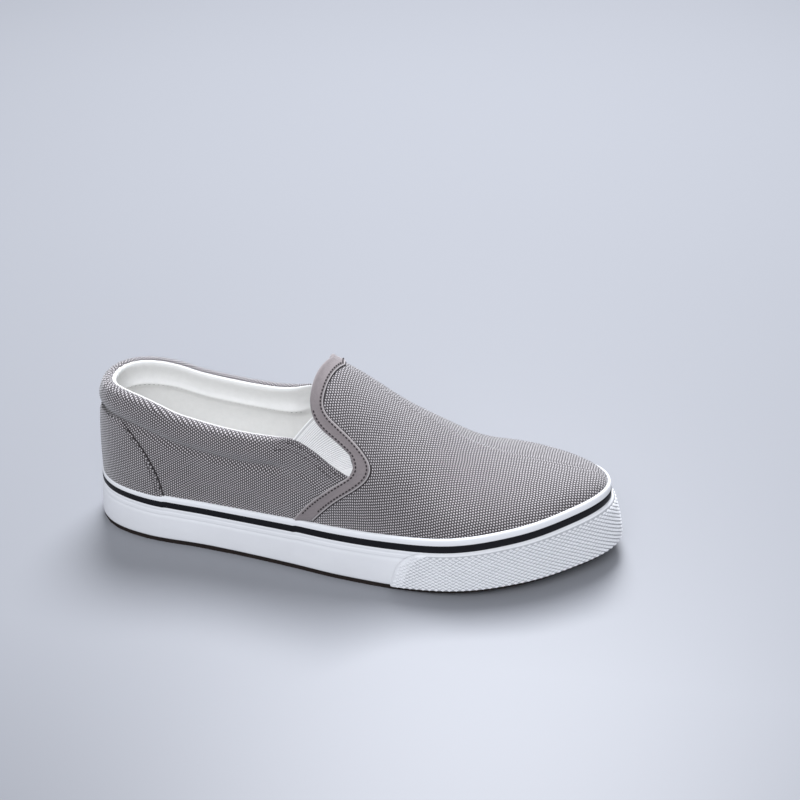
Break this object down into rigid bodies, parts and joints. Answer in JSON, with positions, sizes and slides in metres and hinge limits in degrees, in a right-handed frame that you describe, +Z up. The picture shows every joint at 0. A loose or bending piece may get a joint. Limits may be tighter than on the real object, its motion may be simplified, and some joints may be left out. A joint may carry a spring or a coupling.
{
  "type": "slip-on canvas shoe",
  "caption": "Low slip-on canvas shoe with a padded collar, elastic side gores, bound vamp edge, heel patch and a cupped rubber sole with a dark stripe.",
  "frame": {"origin": "centre of the shoe's bounding box seen from above, at the floor it stands on", "axes": "+X from heel to toe, +Y to the inner side of the foot, +Z up"},
  "size_m": [0.2954, 0.1158, 0.107],
  "materials": {
    "dark_rubber": "matt",
    "black_rubber": "satin",
    "white_rubber": "satin",
    "grey_canvas": "plain weave",
    "grey_trim": "smooth weave",
    "white_elastic": "ribbed",
    "insole_cloth": "matt"
  },
  "bodies": {
    "root": {"outsole": "dark_rubber", "midsole": "white_rubber", "foxing_stripe": "black_rubber", "foxing_band": "white_rubber", "toe_bumper": "white_rubber", "insole": "insole_cloth", "upper": "grey_canvas", "gore_outer": "white_elastic", "gore_inner": "white_elastic", "vamp_binding": "grey_trim", "heel_patch": "grey_canvas"}
  },
  "joints": []
}
